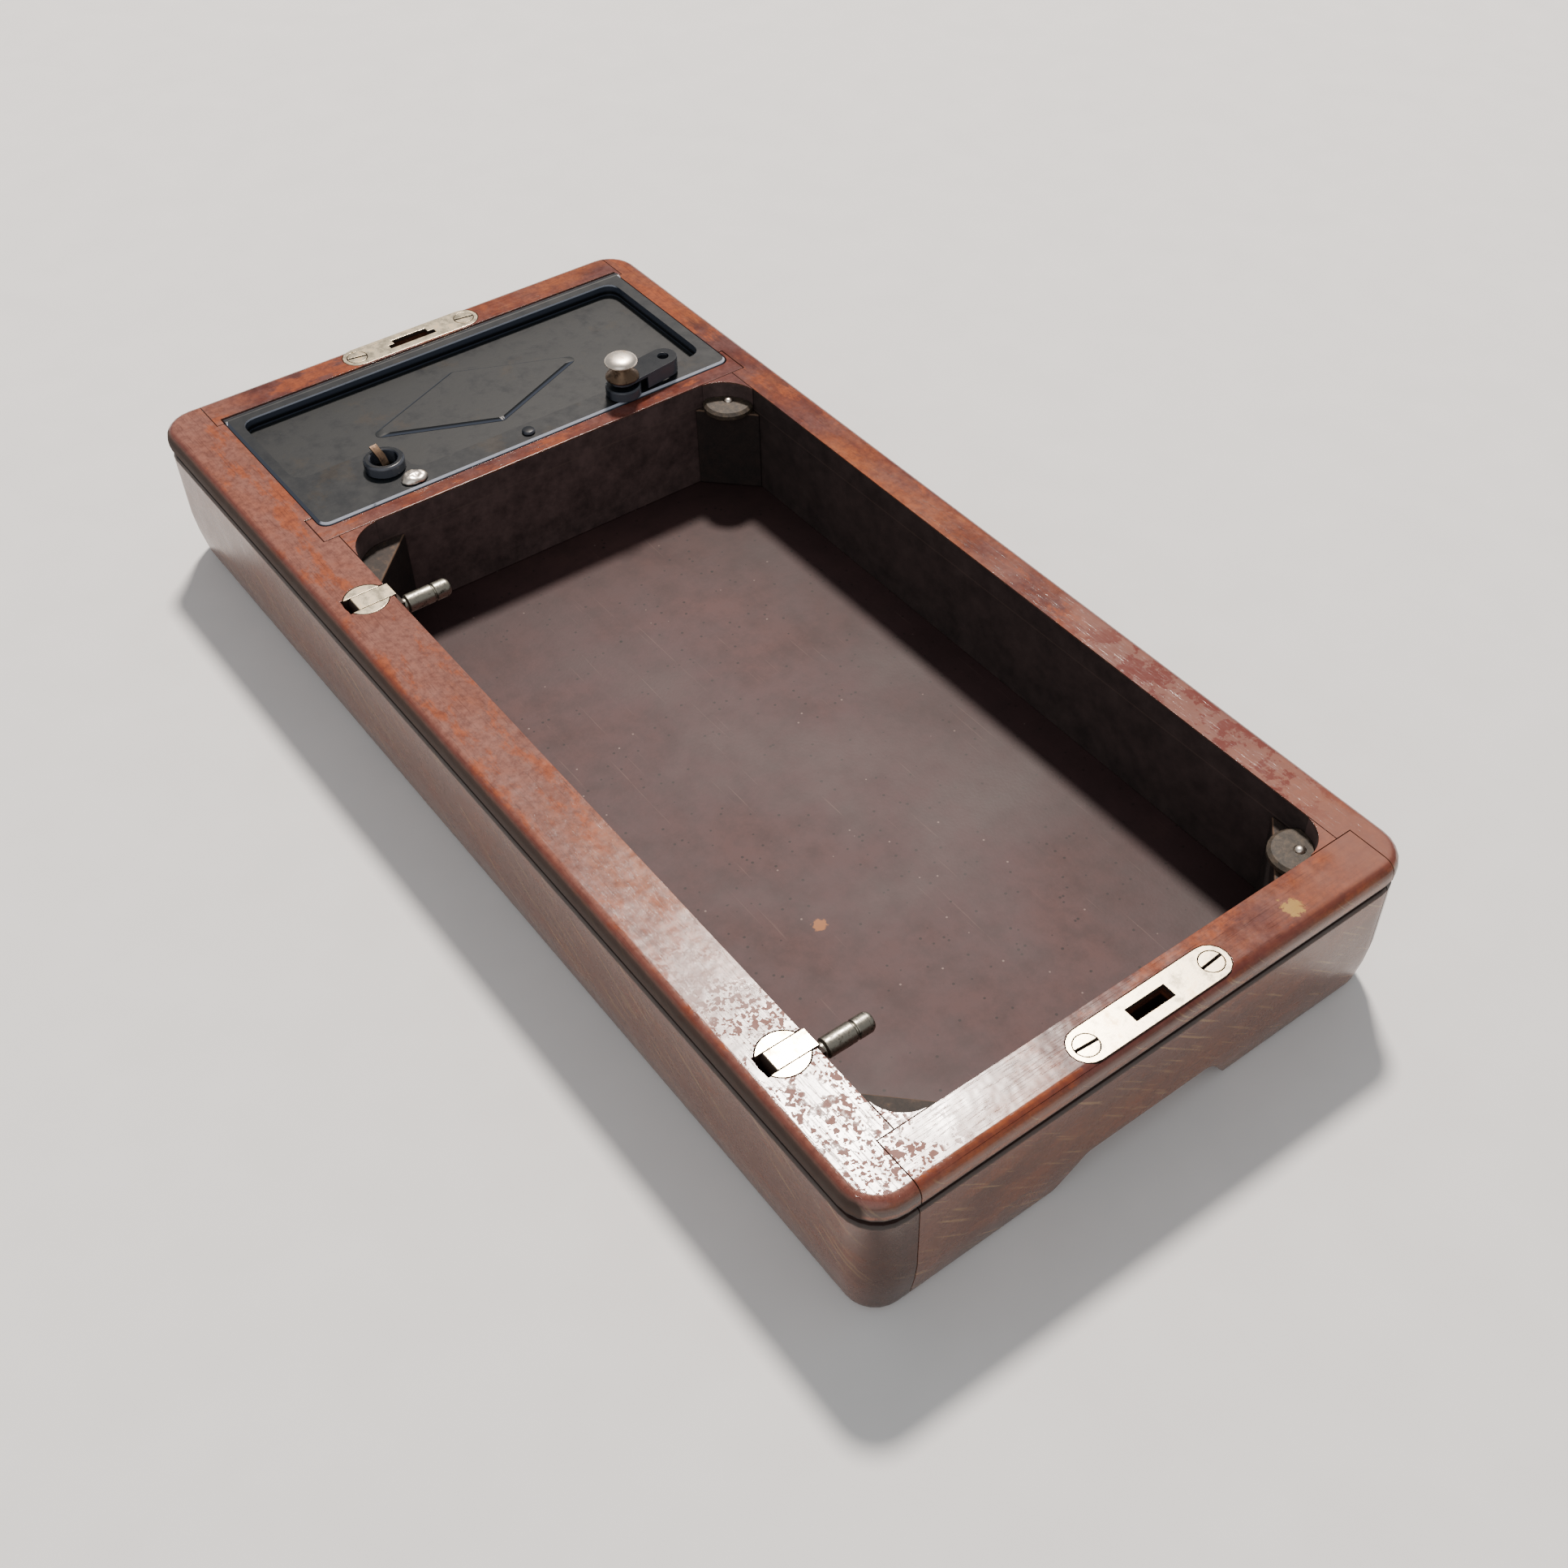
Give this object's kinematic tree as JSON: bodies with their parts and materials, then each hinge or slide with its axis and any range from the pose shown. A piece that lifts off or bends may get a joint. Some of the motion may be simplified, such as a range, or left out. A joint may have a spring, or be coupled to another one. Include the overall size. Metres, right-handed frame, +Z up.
{
  "type": "sewing machine base",
  "caption": "Moulded hardwood base of a portable hand-crank sewing machine, with a bed recess, tilting bed hinges, lock plates and a steel-lidded accessory compartment.",
  "frame": {"origin": "middle of the base, on the surface it stands on", "axes": "+X towards the compartment end, +Y towards the bed hinges at the back, +Z up"},
  "size_m": [0.435, 0.206, 0.0747],
  "materials": {
    "mahogany": "worn varnish over red-brown stain",
    "painted_board": "matt dark brown paint",
    "ledge_wood": "bare, rubbed and dirty",
    "nickel_plate": "worn nickel plate",
    "bare_steel": "turned, lightly rusted",
    "black_japan": "stoved black japan, dusty",
    "pad_felt": "pressed grey felt"
  },
  "bodies": {
    "base": {"back_rail": "mahogany", "front_rail": "mahogany", "left_end_rail": "mahogany", "right_end_rail": "mahogany", "cross_rail": "mahogany", "floor_board": "painted_board", "corner_filler_front_left": "mahogany", "support_post_front_left": "ledge_wood", "bed_pad_front_left": "pad_felt", "pad_tack_front_left": "bare_steel", "corner_filler_back_left": "mahogany", "support_post_back_left": "ledge_wood", "corner_filler_front_right": "mahogany", "support_post_front_right": "ledge_wood", "bed_pad_front_right": "pad_felt", "pad_tack_front_right": "bare_steel", "corner_filler_back_right": "mahogany", "support_post_back_right": "ledge_wood", "lock_plate_left": "nickel_plate", "lock_screw_left_front": "nickel_plate", "lock_screw_left_back": "nickel_plate", "hinge_cup_left": "nickel_plate", "hinge_axle_left": "bare_steel", "lock_plate_right": "nickel_plate", "lock_screw_right_front": "nickel_plate", "lock_screw_right_back": "nickel_plate", "hinge_cup_right": "nickel_plate", "hinge_axle_right": "bare_steel", "lid_hinge_rod": "bare_steel"},
    "hinge_arm_left": {"hinge_tongue_left": "nickel_plate", "bed_pin_left": "bare_steel"},
    "hinge_arm_right": {"hinge_tongue_right": "nickel_plate", "bed_pin_right": "bare_steel"},
    "lid": {"lid_panel": "black_japan", "spare_latch_bush": "black_japan", "broken_spring_strip": "bare_steel", "lid_edge_lug": "nickel_plate", "lid_edge_stud": "black_japan", "latch_bush": "black_japan"},
    "latch": {"latch_spindle": "nickel_plate", "latch_lever": "black_japan", "latch_knob": "nickel_plate", "latch_cam": "bare_steel"}
  },
  "joints": [
    {"name": "bed_hinge_left", "type": "hinge", "parent": "base", "child": "hinge_arm_left", "pos_m": [-0.16225, 0.0905, 0.0535], "axis": [-1, 0, 0], "range_deg": [0, 100]},
    {"name": "bed_hinge_right", "type": "hinge", "parent": "base", "child": "hinge_arm_right", "pos_m": [0.07485, 0.0905, 0.0535], "axis": [-1, 0, 0], "range_deg": [0, 100]},
    {"name": "lid_open", "type": "hinge", "parent": "base", "child": "lid", "pos_m": [0.199, 0, 0.0551], "axis": [0, 1, 0], "range_deg": [0, 95]},
    {"name": "latch_turn", "type": "hinge", "parent": "lid", "child": "latch", "pos_m": [0.124, -0.046, 0.0615], "axis": [0, 0, 1], "range_deg": [0, 90]}
  ]
}
